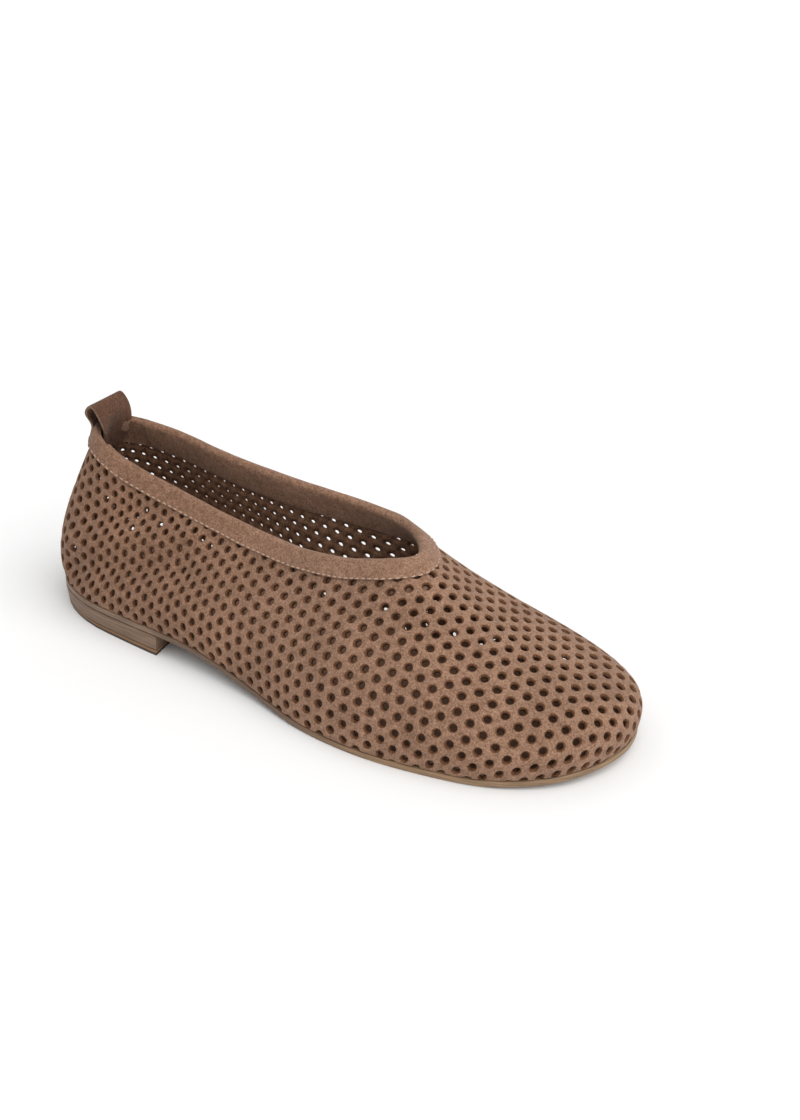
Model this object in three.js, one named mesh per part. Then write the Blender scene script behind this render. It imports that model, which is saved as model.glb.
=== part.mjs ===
// A right slip-on shoe: unlined suede upper, bound collar, pull loop, thin leather sole and low stacked heel.
// Millimetres, +X to the toe, +Y to the inner side of the foot, +Z up. It stands on heel and forefoot at z = 0.
import * as THREE from 'three';
import { mergeVertices } from 'three/addons/utils/BufferGeometryUtils.js';

// Last and upper
const lastLength = 241;
const ballWidth = 84;
const collarRise = 60;
const upperWall = 1.6;

// Sole and heel
const outsoleThickness = 2.2;
const outsoleMargin = 0.3;
const toeSpring = 3.7;
const heelHeight = 8.2;
const heelLength = 63;
const heelTaper = 1.2;
const breastHollow = 3;
const topPieceThickness = 2;
const insoleThickness = 2.4;

// Collar binding
const bindingThickness = 0.9;
const bindingOutside = 6.2;
const bindingInside = 11;

// Pull loop
const loopWidth = 17;
const loopWaist = 12.5;
const loopThickness = 1.3;
const loopRise = 10;
const loopDepth = 7;
const loopOuterTuck = 11;
const loopInnerTuck = 11;
const loopSteps = 24;

// The loop's open arch: along, rise: shares of loopDepth and loopRise; spread: how far it has widened from its
// waist, 0, to its full width, 1; proud: the way that the upper face lies off the under face, along and up.
const archColumns = ['along', 'rise', 'spread', 'proudAlong', 'proudUp'];
const archTable = [
  [0.05, 0.72, 0.9, -1, 0],
  [0.45, 1.00, 1.0, 0, 1],
  [0.90, 0.60, 1.0, 1, 0],
];

// Gap between pieces that meet
const clearance = 0.3;

// Profiles round the upper, from the middle of the heel along the outer side, the toe and the inner side.
// along, topAlong: shares of lastLength; side, topSide: shares of ballWidth; rise: share of collarRise above
// the sole; lift, sweep: the two curve handles as shares of the foot-to-collar distance; lean: the angle at the
// sole, over 90 where the wall bulges out; arrive: the slope of the wall at the collar.
const profileColumns = ['along', 'side', 'topAlong', 'topSide', 'rise', 'lift', 'lean', 'sweep', 'arrive'];
const profileTable = [
  [0.000, -0.006, 0.049, 0.020, 0.988, 0.31, 113, 0.38, 64],
  [0.021, -0.228, 0.077, -0.101, 0.973, 0.31, 110, 0.36, 67],
  [0.099, -0.351, 0.141, -0.136, 0.878, 0.32, 103, 0.32, 75],
  [0.215, -0.384, 0.253, -0.107, 0.751, 0.32, 100, 0.31, 78],
  [0.339, -0.397, 0.368, -0.105, 0.703, 0.32, 99, 0.29, 75],
  [0.460, -0.445, 0.469, -0.130, 0.753, 0.30, 98, 0.25, 67],
  [0.564, -0.511, 0.558, -0.152, 0.843, 0.29, 99, 0.27, 57],
  [0.673, -0.530, 0.611, -0.148, 0.904, 0.29, 101, 0.36, 49],
  [0.778, -0.491, 0.643, -0.124, 0.930, 0.29, 103, 0.47, 44],
  [0.881, -0.408, 0.661, -0.087, 0.937, 0.28, 108, 0.57, 41],
  [0.963, -0.230, 0.669, -0.046, 0.938, 0.28, 113, 0.64, 39],
  [1.000, 0.036, 0.668, -0.004, 0.936, 0.28, 115, 0.66, 38],
  [0.976, 0.284, 0.661, 0.040, 0.933, 0.28, 114, 0.64, 39],
  [0.908, 0.425, 0.649, 0.088, 0.930, 0.28, 111, 0.57, 40],
  [0.819, 0.475, 0.633, 0.135, 0.930, 0.29, 106, 0.47, 42],
  [0.728, 0.463, 0.610, 0.180, 0.933, 0.29, 102, 0.37, 47],
  [0.630, 0.396, 0.566, 0.224, 0.930, 0.29, 100, 0.29, 56],
  [0.509, 0.315, 0.483, 0.240, 0.898, 0.30, 98, 0.26, 68],
  [0.372, 0.276, 0.380, 0.225, 0.853, 0.32, 98, 0.28, 76],
  [0.231, 0.308, 0.263, 0.202, 0.861, 0.33, 98, 0.30, 77],
  [0.107, 0.310, 0.150, 0.190, 0.932, 0.32, 101, 0.32, 74],
  [0.024, 0.200, 0.075, 0.132, 0.978, 0.32, 108, 0.37, 67],
];
const stationsPerProfile = 4;
const stations = profileTable.length * stationsPerProfile;

// Side view of the sole, as shares of lastLength: where the arch comes down to the floor and the toe lifts off.
const landShare = 0.60;
const springShare = 0.78;

// Runs in plan from foot to collar, as shares of lastLength: up to the first one a wall heads straight in at the
// collar, from the second one on it heads for its collar point.
const shortRun = 0.025;
const longRun = 0.083;

// How far the heel's outline swells from its back to its breast, as a part of its taper.
const breastSpread = 1.5;

// The farthest that the loop's edges lie from the middle of the heel, as a part of the way round the collar.
const loopReach = 0.12;

// Parts of the height of a wall where its rings lie, 0 at the sole and 1 at the collar.
const wallLevels = [0, 0.05, 0.13, 0.24, 0.37, 0.50, 0.62, 0.74, 0.85, 0.93, 1];

function named(table, columns) {
  return table.map((row) => Object.fromEntries(row.map((value, i) => [columns[i], value])));
}

const profiles = named(profileTable, profileColumns);
const archPoints = named(archTable, archColumns);
const up = new THREE.Vector3(0, 0, 1);

// Height of the sole's underside above the floor: level over the heel, down the arch, flat, then the toe spring.
function soleUnderside(x) {
  const land = landShare * lastLength;
  const arch = THREE.MathUtils.clamp((land - x) / (land - heelLength), 0, 1);
  const spring = THREE.MathUtils.clamp((x / lastLength - springShare) / (1 - springShare), 0, 1.1);
  return heelHeight * arch * arch * (3 - 2 * arch) + toeSpring * spring * spring;
}

function soleTop(x) {
  return soleUnderside(x) + outsoleThickness;
}

// Closed curves through the profiles' foot points, handles and collar points.
function closedCurve(points) {
  return new THREE.CatmullRomCurve3(points, true, 'catmullrom', 0.5);
}

function footPoint(profile) {
  const x = profile.along * lastLength;
  return new THREE.Vector3(x, profile.side * ballWidth, soleTop(x) + clearance);
}

function collarPoint(profile) {
  const x = profile.topAlong * lastLength;
  return new THREE.Vector3(x, profile.topSide * ballWidth, soleTop(x) + profile.rise * collarRise);
}

// Direction in plan that points out of the shoe at a foot point.
function outwardAt(index) {
  const count = profiles.length;
  const before = footPoint(profiles[(index + count - 1) % count]);
  const after = footPoint(profiles[(index + 1) % count]);
  return after.sub(before).setZ(0).normalize().cross(up);
}

// Direction in plan that the wall runs in at the collar: to the collar point, or straight in where it is near.
function inwardAt(index) {
  const run = collarPoint(profiles[index]).sub(footPoint(profiles[index])).setZ(0);
  const runShare = run.length() / lastLength;
  const share = THREE.MathUtils.clamp((runShare - shortRun) / (longRun - shortRun), 0, 1);
  return outwardAt(index).negate().lerp(run.normalize(), share).normalize();
}

function handle(from, direction, degrees, length) {
  const angle = THREE.MathUtils.degToRad(degrees);
  return from.addScaledVector(direction, length * Math.cos(angle)).addScaledVector(up, length * Math.sin(angle));
}

function profileSpan(profile) {
  return footPoint(profile).distanceTo(collarPoint(profile));
}

const footCurve = closedCurve(profiles.map(footPoint));
const collarCurve = closedCurve(profiles.map(collarPoint));
const liftCurve = closedCurve(profiles.map((p, i) => (
  handle(footPoint(p), outwardAt(i).negate(), p.lean, p.lift * profileSpan(p))
)));
const sweepCurve = closedCurve(profiles.map((p, i) => (
  handle(collarPoint(p), inwardAt(i), p.arrive, -p.sweep * profileSpan(p))
)));

// The foot line of the upper, which follows the sole's side view.
function footAt(around) {
  const point = footCurve.getPoint(around);
  return point.setZ(soleTop(point.x) + clearance);
}

// The upper's outer face: u goes once round the shoe, v goes from the sole, 0, to the collar, 1.
function lastPoint(u, v) {
  const around = ((u % 1) + 1) % 1;
  const curve = new THREE.CubicBezierCurve3(
    footAt(around), liftCurve.getPoint(around), sweepCurve.getPoint(around), collarCurve.getPoint(around),
  );
  return curve.getPoint(v);
}

function wallDirection(u, v) {
  const step = 0.004;
  return lastPoint(u, Math.min(v + step, 1)).sub(lastPoint(u, Math.max(v - step, 0))).normalize();
}

function wallNormal(u, v) {
  const step = 0.002;
  const around = lastPoint(u + step, v).sub(lastPoint(u - step, v));
  return around.cross(wallDirection(u, v)).normalize();
}

// A point off the upper's outer face, outwards where the offset is positive.
function wallPoint(u, v, offset) {
  return lastPoint(u, v).addScaledVector(wallNormal(u, v), offset);
}

// The level v that lies a distance down the wall from the collar.
function levelBelowCollar(u, distance) {
  const steps = 60;
  let left = distance;
  for (let i = steps; i > 0; i -= 1) {
    const length = lastPoint(u, i / steps).distanceTo(lastPoint(u, (i - 1) / steps));
    if (left <= length) return (i - left / length) / steps;
    left -= length;
  }
  return 0;
}

// A point on a round nose over the collar's edge, centred in the wall: 0 degrees outside, 180 inside.
function nosePoint(u, radius, degrees) {
  const angle = THREE.MathUtils.degToRad(degrees);
  const normal = wallNormal(u, 1);
  return lastPoint(u, 1)
    .addScaledVector(normal, radius * Math.cos(angle) - upperWall / 2)
    .addScaledVector(wallDirection(u, 1), radius * Math.sin(angle));
}

function ring(pointAt) {
  return Array.from({ length: stations }, (_, i) => pointAt(i / stations));
}

// Triangles that fill a level ring, anticlockwise from above.
function levelFaces(points) {
  return THREE.ShapeUtils.triangulateShape(points.map((p) => new THREE.Vector2(p.x, p.y)), []);
}

// Triangles that fill a ring round the shoe with strips from its outer to its inner side.
function acrossFaces(points) {
  const count = points.length;
  const faces = [];
  for (let i = 0; i < count / 2; i += 1) {
    const [a, b, c, d] = [i, i + 1, count - 1 - i, (count - i) % count];
    if (b !== c) faces.push([a, b, c]);
    if (d !== a) faces.push([a, c, d]);
  }
  return faces;
}

// A solid from rings with equally many points. Without fill the last ring joins the first one; with it, the
// first ring is the solid's bottom and the last its top, and fill gives their triangles.
function ringSolid(rings, fill = null) {
  const count = rings[0].length;
  const positions = rings.flat().flatMap((p) => [p.x, p.y, p.z]);
  const index = [];
  const last = fill ? rings.length - 1 : rings.length;
  for (let r = 0; r < last; r += 1) {
    const next = (r + 1) % rings.length;
    for (let i = 0; i < count; i += 1) {
      const j = (i + 1) % count;
      const [a, b] = [r * count + i, r * count + j];
      const [c, d] = [next * count + j, next * count + i];
      index.push(a, b, c, a, c, d);
    }
  }
  if (fill) {
    const start = last * count;
    fill(rings[0]).forEach(([a, b, c]) => index.push(c, b, a));
    fill(rings[last]).forEach(([a, b, c]) => index.push(start + a, start + b, start + c));
  }
  const geometry = new THREE.BufferGeometry();
  geometry.setAttribute('position', new THREE.Float32BufferAttribute(positions, 3));
  geometry.setIndex(index);
  return mergeVertices(geometry, 1e-4);
}

// The upper: outer wall up, round the collar's edge, inner wall down to a foot edge that lies flat on the sole.
function upperGeometry() {
  const outer = wallLevels.map((v) => ring((u) => wallPoint(u, v, 0)));
  const nose = [45, 90, 135].map((degrees) => ring((u) => nosePoint(u, upperWall / 2, degrees)));
  const inner = wallLevels.map((v) => ring((u) => wallPoint(u, v, -upperWall)));
  inner[0].forEach((point) => point.setZ(soleTop(point.x) + clearance));
  return ringSolid([...outer, ...nose, ...inner.reverse()]);
}

// The collar binding: a strip folded over the collar's edge, its inner side a clearance off the upper.
function bindingGeometry() {
  const outsideDrops = [bindingOutside, bindingOutside / 2, 0];
  const insideDrops = [0, bindingInside / 2, bindingInside];
  const innerGap = upperWall + clearance;
  const skin = (drops, offset) => drops.map((drop) => ring((u) => pointBelowCollar(u, drop, offset)));
  const noseRings = (radius, angles) => angles.map((degrees) => ring((u) => nosePoint(u, radius, degrees)));
  const lined = upperWall / 2 + clearance;
  return ringSolid([
    ...skin(outsideDrops, clearance + bindingThickness),
    ...noseRings(lined + bindingThickness, [36, 72, 108, 144]),
    ...skin(insideDrops, -innerGap - bindingThickness),
    ...skin([...insideDrops].reverse(), -innerGap),
    ...noseRings(lined, [135, 90, 45]),
    ...skin([...outsideDrops].reverse(), clearance),
  ]);
}

// A plan outline of the sole, a margin outside the upper's foot line, or inside it where negative.
function soleOutline(margin) {
  return ring((u) => {
    const foot = footCurve.getPoint(u);
    const outward = footCurve.getTangent(u).setZ(0).normalize().cross(up);
    return foot.addScaledVector(outward, margin);
  });
}

function atHeight(outline, heightAt) {
  return outline.map((p) => new THREE.Vector3(p.x, p.y, heightAt(p.x)));
}

// A plate that follows the sole's side view between two heights above its underside.
function soleLayer(margin, low, high) {
  const outline = soleOutline(margin);
  return ringSolid([low, high].map((height) => (
    atHeight(outline, (x) => soleUnderside(x) + height)
  )), acrossFaces);
}

// The heel's outline: the sole's outline round the back, closed by a breast hollowed towards the heel. The inset
// draws it in at the back and lets it stand out a little at the breast.
function heelOutline(inset) {
  const wide = soleOutline(outsoleMargin);
  const narrow = soleOutline(outsoleMargin - inset);
  const outline = wide.map((p, i) => p.clone().lerp(narrow[i], 1 - breastSpread * Math.min(p.x / heelLength, 1)));
  const length = heelLength;
  const crossing = (from, to) => from.clone().lerp(to, (length - from.x) / (to.x - from.x));
  const next = (i) => outline[(i + 1) % stations];
  const out = outline.findIndex((p, i) => p.x < length && next(i).x >= length);
  const back = outline.findIndex((p, i) => p.x >= length && next(i).x < length);
  const outer = crossing(outline[out], next(out));
  const inner = crossing(outline[back], next(back));
  const breast = [0, 0.125, 0.25, 0.375, 0.5, 0.625, 0.75, 0.875, 1].map((t) => {
    const point = outer.clone().lerp(inner, t);
    point.x -= breastHollow * 4 * t * (1 - t);
    return point;
  });
  return [...outline.slice(0, out + 1), ...breast, ...outline.slice(back + 1)];
}

function heelLayer(low, high) {
  const insetAt = (z) => heelTaper * (1 - z / heelHeight);
  return ringSolid([low, high].map((z) => atHeight(heelOutline(insetAt(z)), () => z)), levelFaces);
}

function pointBelowCollar(u, drop, offset) {
  return wallPoint(u, levelBelowCollar(u, drop), offset);
}

// The point at y across the shoe, near the heel, that lies this far down the wall and off it.
function pointAcross(y, drop, offset) {
  const side = y > pointBelowCollar(0, drop, offset).y ? -1 : 1;
  let [near, far] = [0, loopReach];
  for (let i = 0; i < 16; i += 1) {
    const half = (near + far) / 2;
    if (side * (pointBelowCollar(side * half, drop, offset).y - y) < 0) far = half;
    else near = half;
  }
  return pointBelowCollar(side * near, drop, offset);
}

// One lengthwise line of the loop's strip, at a share of its width: up the outside of the binding, over an open
// arch, down the inside. The strip narrows to its waist where it is sewn to the collar.
function loopLine(share, lift) {
  const outer = 2 * clearance + bindingThickness + lift;
  const inner = -upperWall - outer;
  const middle = collarCurve.getPoint(0);
  const leg = (drop, offset) => pointAcross(middle.y + share * loopWaist, drop, offset);
  const arch = (point) => new THREE.Vector3(
    middle.x + point.along * loopDepth + point.proudAlong * lift,
    middle.y + share * THREE.MathUtils.lerp(loopWaist, loopWidth, point.spread),
    middle.z + point.rise * loopRise + point.proudUp * lift,
  );
  const curve = new THREE.CatmullRomCurve3([
    leg(loopOuterTuck, outer),
    leg(loopOuterTuck / 2, outer),
    leg(0, outer),
    ...archPoints.map(arch),
    leg(0, inner),
    leg(loopInnerTuck / 2, inner),
    leg(loopInnerTuck, inner),
  ], false, 'centripetal');
  return curve.getPoints(loopSteps);
}

// The pull loop: sections of the strip along its length, capped at its two ends.
function loopGeometry() {
  const shares = [-3, -2, -1, 0, 1, 2, 3].map((part) => part / 6);
  const under = shares.map((share) => loopLine(share, 0));
  const over = [...shares].reverse().map((share) => loopLine(share, loopThickness));
  const lines = [...under, ...over];
  const sections = under[0].map((_, i) => lines.map((line) => line[i]));
  return stripSolid(sections);
}

// A solid from flat sections whose points go along the strip's under face and back along its upper face.
function stripSolid(sections) {
  const count = sections[0].length;
  const half = count / 2;
  const positions = sections.flat().flatMap((p) => [p.x, p.y, p.z]);
  const index = [];
  for (let s = 0; s < sections.length - 1; s += 1) {
    for (let i = 0; i < count; i += 1) {
      const j = (i + 1) % count;
      const [a, b] = [s * count + i, s * count + j];
      index.push(a, b, b + count, a, b + count, a + count);
    }
  }
  const start = (sections.length - 1) * count;
  for (let i = 0; i < half - 1; i += 1) {
    const [p, q, r, s] = [i, i + 1, count - 2 - i, count - 1 - i];
    index.push(r, q, p, s, r, p);
    index.push(start + p, start + q, start + r, start + p, start + r, start + s);
  }
  const geometry = new THREE.BufferGeometry();
  geometry.setAttribute('position', new THREE.Float32BufferAttribute(positions, 3));
  geometry.setIndex(index);
  return geometry;
}

function piece(name, geometry, color, roughness) {
  const mesh = new THREE.Mesh(geometry, new THREE.MeshStandardMaterial({ color, roughness, metalness: 0 }));
  mesh.name = name;
  return mesh;
}

const shoe = new THREE.Group();
const insoleMargin = -upperWall - clearance;
const insoleLow = outsoleThickness + clearance;
shoe.add(
  piece('upper', upperGeometry(), 0x8d6a56, 0.95),
  piece('collar_binding', bindingGeometry(), 0x91705c, 0.95),
  piece('pull_loop', loopGeometry(), 0x7b5544, 0.95),
  piece('insole', soleLayer(insoleMargin, insoleLow, insoleLow + insoleThickness), 0x8a6a50, 0.7),
  piece('outsole', soleLayer(outsoleMargin, 0, outsoleThickness), 0x6b5040, 0.6),
  piece('heel_stack', heelLayer(topPieceThickness + clearance, heelHeight - clearance), 0x7a6a5f, 0.6),
  piece('heel_top_piece', heelLayer(0, topPieceThickness), 0x4a3626, 0.7),
);

// The origin is on the floor under the middle of the shoe.
const box = new THREE.Box3().setFromObject(shoe);
const middle = box.getCenter(new THREE.Vector3());
shoe.position.set(-middle.x, -middle.y, -box.min.z);

export default shoe;
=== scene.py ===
# %% [markdown]
# This lesson dresses a low slip-on shoe. The shoe's solids already exist as a frame of plain pieces with the real
# sizes: upper, binding, pull loop, insole, outsole and heel. Here each of them gets its real surface. The soft
# brown suede is punched with about a thousand holes, a folded band is sewn over the collar, and the heel is
# stacked from thin lifts of leather. Everything is in metres, with the toe at +X and the floor at z = 0.

# %% Load the frame
import math

import bmesh
import bpy
from mathutils import Matrix, Vector, noise
from mathutils.bvhtree import BVHTree
from mathutils.geometry import barycentric_transform
from mathutils.kdtree import KDTree


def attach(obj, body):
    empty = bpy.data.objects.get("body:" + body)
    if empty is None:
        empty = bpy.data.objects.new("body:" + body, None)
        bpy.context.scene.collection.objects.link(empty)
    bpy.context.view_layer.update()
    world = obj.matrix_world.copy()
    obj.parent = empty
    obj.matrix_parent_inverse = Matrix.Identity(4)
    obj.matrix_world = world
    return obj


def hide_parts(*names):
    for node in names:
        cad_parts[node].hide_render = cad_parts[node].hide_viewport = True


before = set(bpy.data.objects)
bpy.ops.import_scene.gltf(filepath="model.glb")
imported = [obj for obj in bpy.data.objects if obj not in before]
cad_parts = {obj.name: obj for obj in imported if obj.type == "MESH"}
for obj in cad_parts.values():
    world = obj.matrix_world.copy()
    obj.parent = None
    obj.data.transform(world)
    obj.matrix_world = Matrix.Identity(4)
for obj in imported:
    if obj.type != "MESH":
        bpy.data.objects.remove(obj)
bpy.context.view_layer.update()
scene = bpy.context.scene
MM = 0.001
print("frame pieces:", sorted(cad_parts))

# %% [markdown]
# The camera comes first, because it decides which details show. It looks at the outer side of the shoe from the
# front and from above. A camera can be placed by angles round a point: back is the direction from the point to
# the camera, right and up span the picture. The point slides a little in the picture plane, so that the shoe
# stands left of the middle and the lens needs no shift.

# %% Set the camera
AZIMUTH = math.radians(33.7157)
ELEVATION = math.radians(29.3345)
LOOKED_AT = Vector((1.408, 1.893, 30)) * MM
SLIDE_RIGHT = 24.472 * MM
SLIDE_UP = 12.112 * MM
DISTANCE = 655.3 * MM
LENS = 57.56

back = Vector((
    math.sin(AZIMUTH) * math.cos(ELEVATION),
    -math.cos(AZIMUTH) * math.cos(ELEVATION),
    math.sin(ELEVATION),
))
right = Vector((math.cos(AZIMUTH), math.sin(AZIMUTH), 0))
up = back.cross(right)
camera = bpy.data.objects.new("camera", bpy.data.cameras.new("camera"))
camera.data.lens = LENS
camera.data.clip_start = 0.05
turn = Matrix((right, up, back)).transposed().to_4x4()
eye = LOOKED_AT + SLIDE_RIGHT * right + SLIDE_UP * up + DISTANCE * back
camera.matrix_world = Matrix.Translation(eye) @ turn
scene.collection.objects.link(camera)
scene.camera = camera
print("camera at", [round(c, 3) for c in eye])

# %% [markdown]
# A product picture of this kind has a white floor and soft light from all sides, so the shadows have no hard edge.
# A sun whose disc is made very wide stands for the large panel overhead. It lights the floor evenly up to the
# picture's edge, which a panel close by can't do. A panel at the front fills the side that faces the camera, and
# the world adds an even glow. The Standard view keeps the colours as they are mixed, where the default view would
# grey them.

# %% Lay the floor and hang the lights
scene.view_settings.view_transform = "Standard"


def simple_material(name, colour, roughness):
    material = bpy.data.materials.new(name)
    material.use_nodes = True
    shader = material.node_tree.nodes["Principled BSDF"]
    shader.inputs["Base Color"].default_value = (*colour, 1)
    shader.inputs["Roughness"].default_value = roughness
    return material


def finish_mesh(bm, name, smooth=True):
    """Turn a bmesh into a scene object at the origin."""
    mesh = bpy.data.meshes.new(name)
    bm.to_mesh(mesh)
    bm.free()
    mesh.polygons.foreach_set("use_smooth", [smooth] * len(mesh.polygons))
    obj = bpy.data.objects.new(name, mesh)
    scene.collection.objects.link(obj)
    return obj


FLOOR_SIZE = 6.0
bm = bmesh.new()
bmesh.ops.create_grid(bm, x_segments=1, y_segments=1, size=FLOOR_SIZE / 2)
floor = finish_mesh(bm, "floor", smooth=False)
floor.data.materials.append(simple_material("pale_floor", (0.9, 0.9, 0.9), 0.9))


def hang_light(light, place):
    """Put a light at a place and turn it to the shoe."""
    obj = bpy.data.objects.new(light.name, light)
    obj.location = place
    obj.rotation_euler = (LOOKED_AT - Vector(place)).to_track_quat("-Z", "Y").to_euler()
    scene.collection.objects.link(obj)


overhead = bpy.data.lights.new("overhead", "SUN")
overhead.angle = math.radians(70)
overhead.energy = 1.8
hang_light(overhead, (0.65, -0.1, 1.0))
front_fill = bpy.data.lights.new("front_fill", "AREA")
front_fill.size = 1.2
front_fill.energy = 2.2
hang_light(front_fill, (1.3, -0.7, 0.8))
world = bpy.data.worlds.new("white_world")
world.use_nodes = True
world.node_tree.nodes["Background"].inputs["Color"].default_value = (1, 1, 1, 1)
world.node_tree.nodes["Background"].inputs["Strength"].default_value = 0.68
scene.world = world

# %% [markdown]
# Suede is the rough inner side of leather. Its short fibres lie in all directions, so it has no gloss, it looks a
# little lighter where it is seen at a flat angle, and its colour changes in soft clouds where the nap was brushed
# one way or the other. A few noise textures in Object coordinates give the clouds and the fibres, a bump gives
# the nap, and the shader's sheen gives the light edge. All the suede pieces share this recipe.


# %% Mix the suede
def noise_node(tree, scale, detail, rough=0.5):
    """A noise texture on Object coordinates, in features per metre."""
    place = tree.nodes.get("place") or tree.nodes.new("ShaderNodeTexCoord")
    place.name = "place"
    texture = tree.nodes.new("ShaderNodeTexNoise")
    texture.inputs["Scale"].default_value = scale
    texture.inputs["Detail"].default_value = detail
    texture.inputs["Roughness"].default_value = rough
    tree.links.new(place.outputs["Object"], texture.inputs["Vector"])
    return texture


def ramp_node(tree, source, stops):
    """A colour ramp with the given (place, colour) stops."""
    ramp = tree.nodes.new("ShaderNodeValToRGB")
    elements = ramp.color_ramp.elements
    for element, (place, colour) in zip(elements, (stops[0], stops[-1])):
        element.position = place
        element.color = (*colour, 1)
    for place, colour in stops[1:-1]:
        elements.new(place).color = (*colour, 1)
    tree.links.new(source, ramp.inputs["Fac"])
    return ramp


def mix_node(tree, blend, factor, first, second):
    """Mix two colour outputs."""
    mix = tree.nodes.new("ShaderNodeMix")
    mix.data_type = "RGBA"
    mix.blend_type = blend
    mix.inputs["Factor"].default_value = factor
    tree.links.new(first, mix.inputs["A"])
    tree.links.new(second, mix.inputs["B"])
    return mix.outputs["Result"]


def bump_node(tree, height, strength, distance, before=None):
    """A bump whose height comes from a texture, on top of an earlier one."""
    bump = tree.nodes.new("ShaderNodeBump")
    bump.inputs["Strength"].default_value = strength
    bump.inputs["Distance"].default_value = distance
    tree.links.new(height, bump.inputs["Height"])
    if before:
        tree.links.new(before, bump.inputs["Normal"])
    return bump.outputs["Normal"]


def scaled(colour, share):
    return tuple(c * share for c in colour)


def suede(name, colour, nap=1.0, clouds=0.1, sheen=0.2):
    """Suede of a linear colour. nap is the depth of the fibres, clouds the share that the colour drifts.

    Towards the heel the colour is darkened a little: painted shade for the light that falls off towards the heel."""
    material = simple_material(name, colour, 0.95)
    tree = material.node_tree
    shader = tree.nodes["Principled BSDF"]
    broad = noise_node(tree, 55, 3)
    brushed = noise_node(tree, 420, 4, 0.65)
    fibres = noise_node(tree, 1400, 4, 0.75)
    cloud_colour = ramp_node(tree, broad.outputs["Fac"], (
        (0.3, scaled(colour, 1 - clouds)), (0.7, scaled(colour, 1 + clouds)),
    ))
    fleck_colour = ramp_node(tree, fibres.outputs["Fac"], (
        (0.34, (0.55, 0.52, 0.5)), (0.5, (1, 1, 1)), (0.66, (1.42, 1.46, 1.5)),
    ))
    brush_colour = ramp_node(tree, brushed.outputs["Fac"], (
        (0.32, (0.8, 0.78, 0.76)), (0.68, (1.19, 1.21, 1.23)),
    ))
    mixed = mix_node(tree, "MULTIPLY", 1, cloud_colour.outputs["Color"], fleck_colour.outputs["Color"])
    mixed = mix_node(tree, "MULTIPLY", 1, mixed, brush_colour.outputs["Color"])
    along = tree.nodes.new("ShaderNodeSeparateXYZ")
    tree.links.new(tree.nodes["place"].outputs["Object"], along.inputs["Vector"])
    # Painted shade: the colour darkens towards the heel, where less light reaches the suede.
    heel_shade_mask = tree.nodes.new("ShaderNodeMapRange")
    heel_shade_mask.inputs["From Min"].default_value = -120 * MM
    heel_shade_mask.inputs["From Max"].default_value = 40 * MM
    tree.links.new(along.outputs["X"], heel_shade_mask.inputs["Value"])
    painted_heel_shade = ramp_node(tree, heel_shade_mask.outputs["Result"], ((0, (0.78, 0.74, 0.71)), (1, (1, 1, 1))))
    mixed = mix_node(tree, "MULTIPLY", 1, mixed, painted_heel_shade.outputs["Color"])
    tree.links.new(mixed, shader.inputs["Base Color"])
    normal = bump_node(tree, brushed.outputs["Fac"], 0.6 * nap, 0.0006)
    normal = bump_node(tree, fibres.outputs["Fac"], 1.0 * nap, 0.0006, normal)
    tree.links.new(normal, shader.inputs["Normal"])
    shader.inputs["Specular IOR Level"].default_value = 0.15
    shader.inputs["Sheen Weight"].default_value = sheen
    shader.inputs["Sheen Roughness"].default_value = 0.45
    shader.inputs["Sheen Tint"].default_value = (0.95, 0.82, 0.72, 1)
    return material


UPPER_COLOUR = (0.3, 0.17, 0.108)
# The walls of the holes are darker cut leather, and their colour also paints the shade that falls into each hole.
HOLE_WALL_AND_SHADE_COLOUR = (0.17, 0.08, 0.042)
INNER_COLOUR = (0.27, 0.15, 0.09)
upper_suede = suede("upper_suede", UPPER_COLOUR)
hole_wall_and_shade_suede = suede("hole_wall_and_shade_suede", HOLE_WALL_AND_SHADE_COLOUR, sheen=0)
inner_suede = suede("inner_suede", INNER_COLOUR, nap=0.8, sheen=0.05)
print("suede nodes:", len(upper_suede.node_tree.nodes))

# %% [markdown]
# The frame's solids are loose triangles. To shape something finer from one, a copy of it is welded and its
# triangles are joined in pairs. The result is a clean net of four-sided faces, which the Subdivision Surface
# modifier turns into a smooth form with the same size.


# %% Weld a copy of a solid into four-sided faces
def quad_copy(node):
    bm = bmesh.new()
    bm.from_mesh(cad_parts[node].data)
    bmesh.ops.remove_doubles(bm, verts=bm.verts, dist=0.02 * MM)
    return bm


def join_quads(bm):
    bmesh.ops.join_triangles(
        bm, faces=bm.faces, topology_influence=1,
        angle_face_threshold=math.radians(60), angle_shape_threshold=math.radians(180),
    )
    return bm


def islands(bm):
    """Groups of faces that hang together."""
    left = set(bm.faces)
    found = []
    while left:
        stack = [left.pop()]
        group = []
        while stack:
            face = stack.pop()
            group.append(face)
            near = {other for edge in face.edges for other in edge.link_faces} & left
            left -= near
            stack.extend(near)
        found.append(group)
    return found


def apply_modifiers(obj):
    """Bake an object's modifiers into its mesh."""
    shaped = bpy.data.meshes.new_from_object(obj.evaluated_get(bpy.context.evaluated_depsgraph_get()))
    obj.modifiers.clear()
    obj.data = shaped


def subdivide(obj, levels):
    modifier = obj.modifiers.new("smooth", "SUBSURF")
    modifier.levels = levels
    modifier.render_levels = levels


# %% [markdown]
# A shoemaker punches the suede flat and then pulls it over the last, and this lesson does the same. First the
# outer face of the upper is taken off its solid, as the surface of the last. Its edge strips are told by their
# small width and by facing down, and the larger of the two walls that are left is the outer one.

# %% Take the face of the last off the upper
NOSE_STRIP = 0.75 * MM
FOOT_FACE = -0.8

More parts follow.
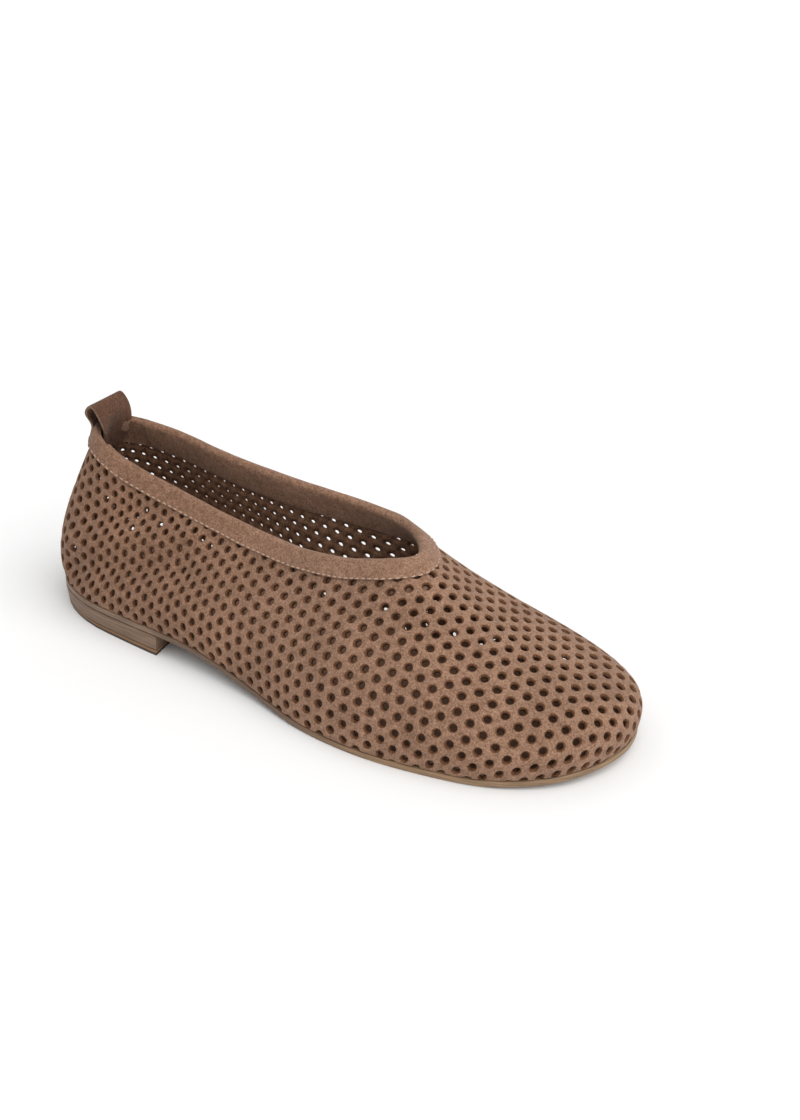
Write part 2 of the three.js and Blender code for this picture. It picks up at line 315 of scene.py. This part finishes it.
bm = quad_copy("upper")
edge_faces = [
    f for f in bm.faces
    if f.normal.z < FOOT_FACE or min(e.calc_length() for e in f.edges) < NOSE_STRIP
]
bmesh.ops.delete(bm, geom=edge_faces, context="FACES")
walls = sorted(islands(bm), key=lambda group: sum(f.calc_area() for f in group))
bmesh.ops.delete(bm, geom=[f for group in walls[:-1] for f in group], context="FACES")
join_quads(bm)
print("last:", len(bm.faces), "faces with", {len(f.verts) for f in bm.faces}, "corners")

# %% [markdown]
# The real piece of suede is a horseshoe, closed by a seam up the middle of the heel: its two wings run back along
# the foot, nearly side by side. Blender's unwrap would spread them wide, because it avoids all stretch, but suede
# stretches on the last and the rows of holes on the real shoe show by how much. So a short table says where the
# lower and upper end of some of the net's columns lay on the flat suede, and a smooth curve goes through its rows.


# %% Follow the net's columns
def edge_line(vert, edge):
    """The line of edges that goes straight on from a vertex to the border."""
    line = [edge]
    vert = edge.other_vert(vert)
    while not vert.is_boundary:
        edge = next(e for e in vert.link_edges if not set(e.link_faces) & set(edge.link_faces))
        line.append(edge)
        vert = edge.other_vert(vert)
    return line


def border_walk(start):
    """The border's vertices in order, from the heel along the outer side, the toe and the inner side."""
    walk = [start]
    near = [e.other_vert(start) for e in start.link_edges if e.is_boundary]
    vert = min(near, key=lambda v: v.co.y)
    while vert is not start:
        walk.append(vert)
        near = [e.other_vert(vert) for e in vert.link_edges if e.is_boundary]
        vert = next(v for v in near if v is not walk[-2])
    return walk


LOW = 0.03
foot_line = border_walk(min((v for v in bm.verts if v.is_boundary and v.co.z < LOW), key=lambda v: v.co.x))
COLUMNS = len(foot_line)
spots = {}
column_points = []
for column, vert in enumerate(foot_line):
    line = edge_line(vert, next(e for e in vert.link_edges if not e.is_boundary))
    length = sum(e.calc_length() for e in line)
    run = 0
    spots[vert] = (column, 0)
    points = [vert.co.copy()]
    for edge in line:
        vert = edge.other_vert(vert)
        run += edge.calc_length()
        spots[vert] = (column, run / length)
        points.append(vert.co.copy())
    column_points.append(points[::-1])
print("columns round the last:", COLUMNS, "vertices with a spot:", len(spots), "of", len(bm.verts))

# %% Lay the suede flat
# column: of the net, counted from the heel round the outer side and the toe. foot, collar: where its two ends
# lay on the flat suede, in mm from the throat, x to the toe and y to the inner side. bow: how far the column's
# middle lay off the straight line between them.
FLAT_COLUMNS = ("column", "foot", "collar", "bow")
FLAT_TABLE = [
    dict(zip(FLAT_COLUMNS, row)) for row in (
        (0, (-163, -104), (-172, -44), (-1, 0)),
        (4, (-143, -102), (-154, -42), (-5, -4)),
        (8, (-118, -98), (-132, -40), (-8, -6)),
        (11, (-95, -94), (-108, -39), (-1, -2)),
        (17, (-45, -80), (-57, -30), (3, 1)),
        (23, (-3, -76), (-24, -20), (2, 0)),
        (29, (34, -67), (-8, -13), (3, 0)),
        (35, (71, -50), (-2, -8), (3, 1)),
        (41, (98, -21), (0, -3), (2, 0)),
        (44, (102, -1), (-1, 0), (3, -1)),
        (48, (96, 21), (-2, 4), (3, 0)),
        (52, (80, 36), (-4, 8), (3, 0)),
        (58, (52, 53), (-8, 13), (3, 0)),
        (64, (18, 67), (-20, 20), (3, 0)),
        (71, (-36, 77), (-55, 29), (3, 0)),
        (79, (-105, 92), (-121, 37), (0, 0)),
        (88, (-163, 104), (-172, 44), (0, 0)),
    )
]


def heading(row, key):
    """How a value of the table changes from column to column at one of its rows."""
    before = FLAT_TABLE[max(row - 1, 0)]
    after = FLAT_TABLE[min(row + 1, len(FLAT_TABLE) - 1)]
    return (Vector(after[key]) - Vector(before[key])) / (after["column"] - before["column"])


def from_table(column, key):
    """A value of the table at any column, on a smooth curve through its rows."""
    row = max(i for i, r in enumerate(FLAT_TABLE[:-1]) if r["column"] <= column)
    begin, end = FLAT_TABLE[row], FLAT_TABLE[row + 1]
    span = end["column"] - begin["column"]
    t = (column - begin["column"]) / span
    ends = Vector(begin[key]) * (1 + 2 * t) * (1 - t) ** 2 + Vector(end[key]) * t * t * (3 - 2 * t)
    slopes = heading(row, key) * t * (1 - t) ** 2 - heading(row + 1, key) * t * t * (1 - t)
    return ends + slopes * span


def flat_place(column, share):
    """Where a point of the last, a share of the way up a column, lay on the flat suede."""
    straight = from_table(column, "foot").lerp(from_table(column, "collar"), share)
    return (straight + from_table(column, "bow") * 4 * share * (1 - share)) * MM


uv = bm.loops.layers.uv.verify()
for face in bm.faces:
    last_column = any(spots[v][0] == COLUMNS - 1 for v in face.verts)
    for loop in face.loops:
        column, share = spots[loop.vert]
        if last_column and column == 0:
            column = COLUMNS
        loop[uv].uv = flat_place(column, share)

# %% Make the last finer
last = finish_mesh(bm, "last")
subdivide(last, 2)
apply_modifiers(last)
last.data.calc_loop_triangles()
print("last:", len(last.data.polygons), "fine faces")

# %% [markdown]
# The rows of holes run almost along the horseshoe, and the holes are staggered like a honeycomb. The flat pattern
# is turned until the rows lie level. Every flat triangle remembers its corners on the last, and a search tree
# over the flat triangles finds the one under any point of the sheet.

# %% Turn the flat pattern so that the rows of holes are level
ROW_TURN = math.radians(4.5)

triangles = last.data.loop_triangles
layer = last.data.uv_layers.active.data
turn_flat = Matrix.Rotation(ROW_TURN, 3, "Z")
flat = [[turn_flat @ layer[i].uv.to_3d() for i in t.loops] for t in triangles]
solid = [[last.data.vertices[i].co for i in t.vertices] for t in triangles]
normals = [[last.data.vertices[i].normal for i in t.vertices] for t in triangles]
corners = [corner for three in flat for corner in three]
pattern = BVHTree.FromPolygons(corners, [(i, i + 1, i + 2) for i in range(0, len(corners), 3)])
low = Vector((min(c.x for c in corners), min(c.y for c in corners)))
high = Vector((max(c.x for c in corners), max(c.y for c in corners)))
real_area = sum(t.area for t in triangles)
flat_area = sum((b - a).cross(c - a).z / 2 for a, b, c in flat)
bpy.data.objects.remove(last)
print("pattern, mm:", [round(s * 1000) for s in high - low], "flat area over real:", round(flat_area / real_area, 3))

# %% [markdown]
# One cell of the sheet is a hexagon with a round hole. The punch draws the suede in a little, so the hole's edge
# is rounded on the outside, and its wall goes straight down to the inner face. The cell starts from circles: a
# hexagon with each side cut in two has twelve corners, as many as the ring of the hole, so bridge_loops joins
# them without a gap. No two neighbouring rings lie at quite the same depth, because bridge_loops may twist between
# level ones and close the hole. Two cells make one repeat of the staggered rows.

# %% Punch one cell
PITCH = 5.6 * MM
ROW = PITCH * math.sqrt(3) / 2
WALL = 1.75 * MM
HOLE = 1.3 * MM
RIM = ((0.85, -0.02), (0.42, -0.12), (0.14, -0.34), (0, -0.7), (-0.32, -1.62))


def ring_edges(bm, sides, radius, depth, middle):
    """A circle of edges at a depth under the sheet's face."""
    place = Matrix.Translation((middle[0], middle[1], depth))
    verts = bmesh.ops.create_circle(bm, segments=sides, radius=radius, matrix=place)["verts"]
    return list({e for v in verts for e in v.link_edges})


def hexagon(bm, depth, middle):
    edges = ring_edges(bm, 6, PITCH / math.sqrt(3), depth, middle)
    bmesh.ops.subdivide_edges(bm, edges=edges, cuts=1)
    return list({e for edge in edges for v in edge.verts for e in v.link_edges})


def punched_cell(bm, middle):
    rings = [hexagon(bm, 0, middle)]
    for widening, depth in RIM:
        rings.append(ring_edges(bm, 12, HOLE + widening * MM, depth * MM, middle))
    rings.append(hexagon(bm, -WALL, middle))
    for upper_ring, lower_ring in zip(rings, rings[1:]):
        bmesh.ops.bridge_loops(bm, edges=upper_ring + lower_ring)


bm = bmesh.new()
punched_cell(bm, (0, 0))
punched_cell(bm, (PITCH / 2, ROW))
bmesh.ops.remove_doubles(bm, verts=bm.verts, dist=0.01 * MM)
bmesh.ops.recalc_face_normals(bm, faces=bm.faces)
top_face = max(bm.faces, key=lambda f: f.calc_center_median().z)
if top_face.normal.z < 0:
    bmesh.ops.reverse_faces(bm, faces=bm.faces)
blocked = BVHTree.FromBMesh(bm).ray_cast(Vector((0.1 * MM, 0.1 * MM, 1)), Vector((0, 0, -1)))[0]
print("one repeat:", len(bm.faces), "faces, hole open:", blocked is None)

# %% [markdown]
# Two Array modifiers repeat the pair of cells along the rows and across them, over the whole pattern, and weld
# where cells meet. What lies off the pattern is cut away afterwards.

# %% Repeat it into a sheet
SHIFT = Vector((41.5, -3.6)) * MM
first_column = math.floor((low.x - SHIFT.x) / PITCH) - 1
first_row = math.floor((low.y - SHIFT.y) / (2 * ROW)) - 1
across = math.ceil((high.x - low.x) / PITCH) + 3
rows_up = math.ceil((high.y - low.y) / (2 * ROW)) + 3
start = Vector((SHIFT.x + first_column * PITCH, SHIFT.y + first_row * 2 * ROW, 0))
bmesh.ops.translate(bm, verts=bm.verts, vec=start)
sheet = finish_mesh(bm, "upper_suede_punched")
for count, step in ((across, (PITCH, 0, 0)), (rows_up, (0, 2 * ROW, 0))):
    array = sheet.modifiers.new("repeat", "ARRAY")
    array.count = count
    array.use_relative_offset = False
    array.use_constant_offset = True
    array.constant_offset_displace = step
    array.use_merge_vertices = True
    array.merge_threshold = 0.02 * MM
apply_modifiers(sheet)
print("sheet:", 2 * across * rows_up, "cells,", len(sheet.data.polygons), "faces")

# %% [markdown]
# Now the sheet is cut and lasted. Each corner of it asks the search tree for the flat triangle under it. A
# corner off the pattern gets the nearest point of the pattern's border, so the cut edges follow the border and
# holes that lie across it stay as notches, as they do on the real shoe. Faces that lie off it altogether go.
# The cut edge then gets its thickness: it is extruded down to the inner face. Real punched holes are never quite
# even, so the sheet is first pushed a little by a smooth noise.

# %% Cut the sheet and pull it over the last
DRIFT = 0.16 * MM
DRIFT_SCALE = 95
INSIDE = 0.001 * MM
HOLE_SHADE_FROM = 0.2 * MM
INNER_FROM = WALL - 0.3 * MM

# Soft folds of the worn-in suede. start, end: middle line of the fold as (x, y, z) in mm;
# depth: how far it goes in, or comes out where negative; width: half width of the trough in mm.
FOLD_COLUMNS = ("start", "end", "depth", "width")
FOLDS = [
    dict(zip(FOLD_COLUMNS, row)) for row in (
        ((-104, -23, 31), (-54, -13, 44), -2.6, 5.5),
        ((-104, -26, 20), (-54, -20, 34), 2.6, 5.5),
    )
]


def fold_depth(point):
    """How far the folds take a point of the last in."""
    total = 0
    for fold in FOLDS:
        begin, end = Vector(fold["start"]) * MM, Vector(fold["end"]) * MM
        along = end - begin
        share = min(max((point - begin).dot(along) / along.length_squared, 0), 1)
        distance = (point - begin - share * along).length / (fold["width"] * MM)
        total += fold["depth"] * MM * math.exp(-distance * distance)
    return total


def lasted(place, index, depth):
    """The point of the last over a place of the flat pattern, at a depth under its face."""
    point = barycentric_transform(place, *flat[index], *solid[index])
    normal = barycentric_transform(place, *flat[index], *normals[index]).normalized()
    return point + normal * (depth - fold_depth(point))


bm = bmesh.new()
bm.from_mesh(sheet.data)
bmesh.ops.remove_doubles(bm, verts=bm.verts, dist=0.01 * MM)
found = {}
for vert in bm.verts:
    place = Vector((vert.co.x, vert.co.y, 0))
    push = noise.noise_vector(place * DRIFT_SCALE)
    place += Vector((push.x, push.y, 0)) * DRIFT
    near, _, index, distance = pattern.find_nearest(place)
    found[vert] = (near, index, distance < INSIDE)
off = [f for f in bm.faces if not any(found[v][2] for v in f.verts)]
bmesh.ops.delete(bm, geom=off, context="FACES")
# Faces sunk into a hole get the darker hole colour, partly painted shade of the hole; faces of the inner face get the
# inner suede.
for face in bm.faces:
    depth = -face.calc_center_median().z
    face.material_index = sum(depth > limit for limit in (HOLE_SHADE_FROM, INNER_FROM))
cut = [e for e in bm.edges if e.is_boundary and all(v.co.z > -INNER_FROM for v in e.verts)]
made = bmesh.ops.extrude_edge_only(bm, edges=cut)["geom"]
below = {v for v in made if isinstance(v, bmesh.types.BMVert)}
for vert in below:
    above = next(other for e in vert.link_edges if (other := e.other_vert(vert)) not in below)
    found[vert] = found[above]
    vert.co.z = -WALL
for vert in bm.verts:
    near, index, _ = found[vert]
    vert.co = lasted(near, index, vert.co.z)
bmesh.ops.remove_doubles(bm, verts=bm.verts, dist=0.02 * MM)
bmesh.ops.dissolve_degenerate(bm, edges=bm.edges, dist=0.02 * MM)
print("cut edges with a wall:", len(cut))
bpy.data.objects.remove(sheet)
upper = finish_mesh(bm, "upper_suede_punched")
upper.data.materials.append(upper_suede)
upper.data.materials.append(hole_wall_and_shade_suede)
upper.data.materials.append(inner_suede)
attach(upper, "root")
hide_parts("upper")
upper.data.calc_loop_triangles()
print("upper:", len(upper.data.loop_triangles), "triangles")

# %% [markdown]
# The binding is a strip of thinner, smoother suede, folded over the collar's edge and sewn through just above its
# lower edge. The frame's solid has its section in a few straight steps. Subdivision rounds them into the soft
# roll that folded suede has. The thread pulls the strip in along the seam, and between the stitches it swells a
# little, so the points near the seam are moved in and the rest by a smooth noise.

# %% Follow the seam round the collar
SEAM_DROP = 4.9 * MM
STITCH_PITCH = 2.5 * MM


def last_point(column, drop):
    """The point of the last under the collar's edge, a drop down a column."""
    column %= COLUMNS
    begin = int(column)
    ends = []
    for c in (begin, (begin + 1) % COLUMNS):
        points = column_points[c]
        left = drop
        for upper_point, lower_point in zip(points, points[1:]):
            step = (lower_point - upper_point).length
            if left <= step:
                ends.append(upper_point.lerp(lower_point, left / step))
                break
            left -= step
    return ends[0].lerp(ends[1], column - begin)


steps = [last_point(i / 4, SEAM_DROP) for i in range(4 * COLUMNS)]
seam_length = sum((b - a).length for a, b in zip(steps, steps[1:] + steps[:1]))
stitch_count = round(seam_length / STITCH_PITCH)
seam_places = []
run = 0
for a, b in zip(steps, steps[1:] + steps[:1]):
    length = (b - a).length
    while len(seam_places) * seam_length / stitch_count < run + length and len(seam_places) < stitch_count:
        share = (len(seam_places) * seam_length / stitch_count - run) / length
        seam_places.append((a.lerp(b, share), (b - a).normalized()))
    run += length
print("seam, mm:", round(seam_length * 1000), "stitches:", len(seam_places))

# %% Roll the binding
BINDING_COLOUR = (0.285, 0.162, 0.104)
SWELL = 0.16 * MM
SWELL_SCALE = 110
PULL = 0.5 * MM
LOOP_END = -96 * MM
LOOP_MIDDLE = 3.4 * MM
PRESS = 1.2 * MM
PRESS_WIDTH = 14 * MM
PULL_WIDTH = 0.85 * MM
binding_suede = suede("binding_suede", BINDING_COLOUR, nap=0.7, clouds=0.06)
binding = finish_mesh(join_quads(quad_copy("collar_binding")), "collar_binding_folded")
subdivide(binding, 2)
apply_modifiers(binding)
seam_tree = KDTree(len(seam_places))
for i, (place, _) in enumerate(seam_places):
    seam_tree.insert(place, i)
seam_tree.balance()
bm = bmesh.new()
bm.from_mesh(binding.data)
bm.normal_update()
for vert in bm.verts:
    place, index, _ = seam_tree.find(vert.co)
    along = seam_places[index][1]
    offset = vert.co - place
    across = (offset - along * offset.dot(along)).length
    outside = vert.normal.dot(vert.co - Vector((vert.co.x * 0.5, 4 * MM, vert.co.z))) > 0
    between = abs(offset.dot(along)) / (STITCH_PITCH / 2)
    depth = PULL * math.exp(-(across / PULL_WIDTH) ** 2) * (1 - 0.45 * min(between, 1)) if outside else 0
    if vert.co.x > LOOP_END:
        depth += SWELL * noise.noise(vert.co * SWELL_SCALE)
    elif vert.normal.x > 0:
        depth += PRESS * math.exp(-((vert.co.y - LOOP_MIDDLE) / PRESS_WIDTH) ** 4)
    vert.co -= vert.normal * depth
bm.to_mesh(binding.data)
bm.free()
binding.data.polygons.foreach_set("use_smooth", [True] * len(binding.data.polygons))
binding.data.materials.append(binding_suede)
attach(binding, "root")
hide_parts("collar_binding")
print("binding:", len(binding.data.polygons), "faces")

# %% [markdown]
# The pull loop is a strip of darker suede with its raw cut edges showing. Its long edges get their own material,
# because cut suede is lighter than its brushed face, and a crease keeps them crisp when the strip is smoothed. The
# outer leg is then bent in, so that it lies against the round back of the binding and its end against the upper.

# %% Fold the pull loop
LOOP_COLOUR = (0.155, 0.068, 0.037)
CUT_COLOUR = (0.27, 0.165, 0.11)
SIDEWAYS = 0.75
LEG_TOP = 75 * MM
LEG_LOW = 69 * MM
LEG_END = 62 * MM
LEG_IN = 0.45 * MM
LEG_FOOT = 1.5 * MM
LEG_WRAP = 17
loop_suede = suede("loop_suede", LOOP_COLOUR, nap=1.3, clouds=0.14)
cut_suede = suede("cut_suede", CUT_COLOUR, nap=1.0)
bm = join_quads(quad_copy("pull_loop"))
crease = bm.edges.layers.float.new("crease_edge")
for face in bm.faces:
    face.material_index = int(abs(face.normal.y) > SIDEWAYS)
for edge in bm.edges:
    if len({f.material_index for f in edge.link_faces}) > 1:
        edge[crease] = 0.75
loop = finish_mesh(bm, "pull_loop_strip")
subdivide(loop, 2)
apply_modifiers(loop)
for vert in loop.data.vertices:
    between_legs = -108 * MM + 0.3 * (vert.co.z - 67 * MM)
    if vert.co.x < between_legs and vert.co.z < LEG_TOP:
        share = min((LEG_TOP - vert.co.z) / (LEG_TOP - LEG_LOW), 1)
        low = max(LEG_LOW - vert.co.z, 0) / (LEG_LOW - LEG_END)
        wrap = LEG_WRAP * (vert.co.y - LOOP_MIDDLE) ** 2
        vert.co.x += share * (LEG_IN + LEG_FOOT * low + wrap)
loop.data.materials.append(loop_suede)
loop.data.materials.append(cut_suede)
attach(loop, "root")
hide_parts("pull_loop")
print("loop:", len(loop.data.polygons), "faces")

# %% [markdown]
# Each stitch is a short stretch of thread that dives into the suede at both ends. A low sphere, drawn out along
# the seam and sunk by a part of its thickness, looks the same and has a few dozen faces. A ray from outside finds
# the face that it lies on, which is the loop's where the seam crosses it.

# %% Sew the stitches
THREAD_COLOUR = (0.42, 0.28, 0.2)
STITCH_SIZE = Vector((0.95, 0.34, 0.3)) * MM
STITCH_SINK = 0
RAY_START = 8 * MM
thread = simple_material("thread", THREAD_COLOUR, 0.7)
tree = thread.node_tree
twist = noise_node(tree, 4000, 2)
ply = ramp_node(tree, twist.outputs["Fac"], ((0.3, scaled(THREAD_COLOUR, 0.75)), (0.7, scaled(THREAD_COLOUR, 1.3))))
tree.links.new(ply.outputs["Color"], tree.nodes["Principled BSDF"].inputs["Base Color"])
sewn = bmesh.new()
sewn.from_mesh(binding.data)
sewn.from_mesh(loop.data)
sewn_tree = BVHTree.FromBMesh(sewn)
sewn.free()
bm = bmesh.new()
for place, along in seam_places:
    out = along.cross(Vector((0, 0, 1))).normalized()
    spot, normal, _, _ = sewn_tree.ray_cast(place + out * RAY_START, -out)
    if spot is None:
        continue
    aside = normal.cross(along).normalized()
    axes = Matrix((along, aside, along.cross(aside))).transposed().to_4x4()
    matrix = Matrix.Translation(spot - normal * STITCH_SINK) @ axes @ Matrix.Diagonal(STITCH_SIZE).to_4x4()
    bmesh.ops.create_uvsphere(bm, u_segments=8, v_segments=5, radius=1, matrix=matrix)
bmesh.ops.recalc_face_normals(bm, faces=bm.faces)
stitches = finish_mesh(bm, "binding_stitches")
stitches.data.materials.append(thread)
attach(stitches, "root")
print("stitches:", len(stitches.data.polygons), "faces")

# %% [markdown]
# The sole pieces are smooth leather. The grain of smooth leather is fine pores in a slightly glossy skin. A sole's
# cut edge and a heel are stacked leather: thin lifts glued flat, sanded and waxed, so they show level streaks.
# Noise that is squeezed in height makes such streaks, and the same noise gives fine grooves to the bump.


# %% Mix the sole leathers
def smooth_leather(name, colour, roughness):
    """Smooth leather with fine pores and a faint gloss."""
    material = simple_material(name, colour, roughness)
    tree = material.node_tree
    clouds = noise_node(tree, 70, 3)
    pores = noise_node(tree, 1800, 2, 0.6)
    tone = ramp_node(tree, clouds.outputs["Fac"], ((0.3, scaled(colour, 0.88)), (0.7, scaled(colour, 1.12))))
    shader = tree.nodes["Principled BSDF"]
    tree.links.new(tone.outputs["Color"], shader.inputs["Base Color"])
    tree.links.new(bump_node(tree, pores.outputs["Fac"], 0.25, 0.0002), shader.inputs["Normal"])
    return material


def stacked_leather(name, stops, roughness, gloss):
    """Level streaks over a colour that changes with the height in mm. stops: (height, colour)."""
    material = simple_material(name, stops[0][1], roughness)
    tree = material.node_tree
    shader = tree.nodes["Principled BSDF"]
    streaks = noise_node(tree, 1, 4, 0.6)
    squeeze = tree.nodes.new("ShaderNodeMapping")
    squeeze.inputs["Scale"].default_value = (90, 90, 2600)
    tree.links.new(tree.nodes["place"].outputs["Object"], squeeze.inputs["Vector"])
    tree.links.new(squeeze.outputs["Vector"], streaks.inputs["Vector"])
    height = tree.nodes.new("ShaderNodeSeparateXYZ")
    tree.links.new(tree.nodes["place"].outputs["Object"], height.inputs["Vector"])
    level = tree.nodes.new("ShaderNodeMapRange")
    level.inputs["From Max"].default_value = HEEL_HEIGHT
    tree.links.new(height.outputs["Z"], level.inputs["Value"])
    bands = ramp_node(tree, level.outputs["Result"], [(h * MM / HEEL_HEIGHT, c) for h, c in stops])
    tone = ramp_node(tree, streaks.outputs["Fac"], ((0.35, (0.66, 0.64, 0.62)), (0.65, (1.3, 1.31, 1.32))))
    mixed = mix_node(tree, "MULTIPLY", 1, bands.outputs["Color"], tone.outputs["Color"])
    tree.links.new(mixed, shader.inputs["Base Color"])
    tree.links.new(bump_node(tree, streaks.outputs["Fac"], 0.3, 0.0003), shader.inputs["Normal"])
    shader.inputs["Coat Weight"].default_value = gloss
    shader.inputs["Coat Roughness"].default_value = 0.45
    return material


HEEL_HEIGHT = 10.4 * MM
HEEL_BREAST = -60 * MM
BALL = 45 * MM
# Painted shadow: a dark line along the heel's bottom edge, in the gap above the top piece.
HEEL_GAP_SHADOW = (0.035, 0.02, 0.013)
# Painted shade: the sole edge under the arch is dark, where the upper shades it.
WAIST_EDGE_SHADE = (0.13, 0.075, 0.042)
SOLE_EDGE = (0.26, 0.16, 0.085)
HEEL_BODY = (0.19, 0.116, 0.072)
TAN_LINE = (0.23, 0.12, 0.05)
# Painted shade: the lower part of the top piece is dark, as the shadow next to the floor.
TOP_PIECE_SHADE = (0.05, 0.028, 0.017)
insole_leather = smooth_leather("insole_leather", (0.27, 0.145, 0.085), 0.6)
outsole_leather = stacked_leather("outsole_leather", ((0, SOLE_EDGE), (10, SOLE_EDGE)), 0.55, 0.1)
tree = outsole_leather.node_tree
breast = tree.nodes.new("ShaderNodeSeparateXYZ")
tree.links.new(tree.nodes["place"].outputs["Object"], breast.inputs["Vector"])
ahead = tree.nodes.new("ShaderNodeMapRange")
ahead.inputs["From Min"].default_value = HEEL_BREAST
ahead.inputs["From Max"].default_value = BALL
tree.links.new(breast.outputs["X"], ahead.inputs["Value"])
# The sole edge's colour along the shoe: heel leather at the breast, painted shade under the arch, tan leather at the
# forefoot.
edge_tone_and_waist_shade = ramp_node(tree, ahead.outputs["Result"], ((0, HEEL_BODY), (0.06, WAIST_EDGE_SHADE), (0.6, WAIST_EDGE_SHADE), (1, SOLE_EDGE)))
streaky = tree.nodes["Principled BSDF"].inputs["Base Color"].links[0].from_node
tree.links.new(edge_tone_and_waist_shade.outputs["Color"], streaky.inputs["A"])
# The heel's lowest fraction of a millimetre is painted dark as the shadow of the gap.
heel_leather = stacked_leather("heel_leather", (
    (2.2, HEEL_GAP_SHADOW), (2.7, HEEL_BODY), (10, HEEL_BODY),
), 0.6, 0.05)
# Tan top piece whose lower part is painted dark as shade.
top_leather = stacked_leather("top_leather", (
    (0, TOP_PIECE_SHADE), (0.9, TOP_PIECE_SHADE), (1.2, TAN_LINE), (2, TAN_LINE),
), 0.6, 0.05)
print("sole materials:", [m.name for m in (insole_leather, outsole_leather, heel_leather, top_leather)])

# %% [markdown]
# Each solid of the sole has a flat face above and below and a rim between them. The rim's two edges get a small
# bevel, as sanding leaves it, and then one step of Subdivision rounds the outline of the insole and the outsole.
# Edges next to the bevel are creased so that the faces stay flat.

# %% Sand the sole pieces
RIM_ANGLE = math.radians(40)


def sanded(node, name, material, bevel, levels):
    bm = join_quads(quad_copy(node))
    rim = [e for e in bm.edges if e.calc_face_angle(0) > RIM_ANGLE]
    made = bmesh.ops.bevel(
        bm, geom=rim, offset=bevel, offset_type="OFFSET", segments=2, profile=0.5,
        affect="EDGES", material=-1, clamp_overlap=True,
    )
    crease = bm.edges.layers.float.new("crease_edge")
    rounded = set(made["faces"])
    for edge in {e for f in rounded for e in f.edges}:
        if not set(edge.link_faces) <= rounded:
            edge[crease] = 0.8
    obj = finish_mesh(bm, name)
    if levels:
        subdivide(obj, levels)
    obj.data.materials.append(material)
    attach(obj, "root")
    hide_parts(node)
    print(name + ":", len(obj.data.polygons), "faces before smoothing,", len(rim), "rim edges")
    return obj


sanded("insole", "insole_smooth", insole_leather, 0.3 * MM, 1)
sanded("outsole", "outsole_sanded", outsole_leather, 0.25 * MM, 1)
sanded("heel_stack", "heel_stack_sanded", heel_leather, 0.12 * MM, 0)
sanded("heel_top_piece", "top_piece_sanded", top_leather, 0.3 * MM, 0)
